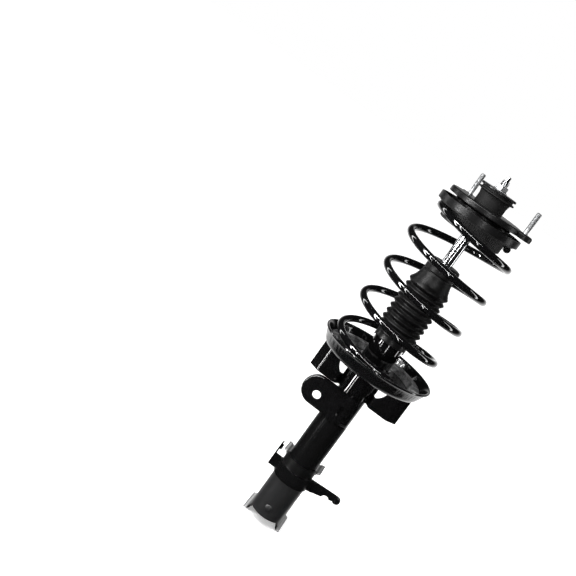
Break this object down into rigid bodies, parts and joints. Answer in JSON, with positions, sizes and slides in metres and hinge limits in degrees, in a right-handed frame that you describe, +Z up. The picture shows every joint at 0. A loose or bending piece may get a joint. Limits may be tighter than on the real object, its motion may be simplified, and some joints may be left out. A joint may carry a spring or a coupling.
{
  "type": "suspension strut",
  "caption": "Complete front suspension strut: coil spring round a damper, with a rubber top mount on a turning bearing, a link bracket and a clevis for the steering knuckle.",
  "frame": {"origin": "centre of the mount plate's seating face, on the piston rod's axis", "axes": "+Z up along the piston rod, -Y towards the outboard front where the stabilizer bracket stands, +X towards the hose arm"},
  "size_m": [0.1918, 0.1918, 0.6659],
  "materials": {
    "chrome_rod": "polished",
    "zinc_steel": "bright zinc",
    "machined_steel": "machined",
    "gloss_black_paint": "gloss",
    "satin_black_paint": "satin",
    "spring_powder_coat": "gloss powder coat",
    "mount_rubber": "matte",
    "boot_rubber": "satin",
    "bump_foam": "matte foam",
    "bearing_plastic": "moulded",
    "piston_band": "moulded",
    "valve_brass": "machined"
  },
  "bodies": {
    "top_mount": {"piston_rod": "chrome_rod", "rod_nut": "zinc_steel", "top_washer": "satin_black_paint", "mount_rubber": "mount_rubber", "mount_sleeve": "machined_steel", "mount_plate": "satin_black_paint", "mount_cup": "satin_black_paint", "mount_studs": "zinc_steel", "bearing_upper_race": "satin_black_paint", "rebound_stop": "machined_steel", "piston": "machined_steel", "piston_band": "piston_band", "piston_nut": "zinc_steel"},
    "ball_cage": {"bearing_cage": "bearing_plastic", "bearing_balls": "chrome_rod"},
    "spring_carrier": {"bearing_lower_race": "satin_black_paint", "upper_spring_seat": "satin_black_paint", "upper_insulator": "mount_rubber", "coil_spring": "spring_powder_coat"},
    "strut_body": {"bump_stop": "bump_foam", "dust_boot": "boot_rubber", "boot_collar": "satin_black_paint", "end_cap": "machined_steel", "rod_seal": "mount_rubber", "rod_guide": "machined_steel", "pressure_tube": "machined_steel", "base_valve": "valve_brass", "reserve_tube": "gloss_black_paint", "base_cup": "gloss_black_paint", "lower_spring_seat": "gloss_black_paint", "lower_insulator": "mount_rubber", "seat_support": "gloss_black_paint", "stabilizer_bracket": "gloss_black_paint", "hose_bracket": "satin_black_paint", "knuckle_bracket": "satin_black_paint", "knuckle_reinforcement": "satin_black_paint"}
  },
  "joints": [
    {"name": "strut_bearing", "type": "hinge", "parent": "top_mount", "child": "spring_carrier", "pos_m": [0, 0, 0], "axis": [0, 0, 1], "continuous": true},
    {"name": "ball_roll", "type": "hinge", "parent": "top_mount", "child": "ball_cage", "pos_m": [0, 0, 0], "axis": [0, 0, 1], "continuous": true},
    {"name": "compression", "type": "slide", "parent": "spring_carrier", "child": "strut_body", "axis": [0, 0, 1], "range_m": [0, 0.09], "stiffness_N_per_m": 26000, "springref_m": -0.1, "deforming": ["coil_spring"]}
  ],
  "couplings": [
    {"joint": "ball_roll", "follows": "strut_bearing", "ratio": 0.5}
  ]
}
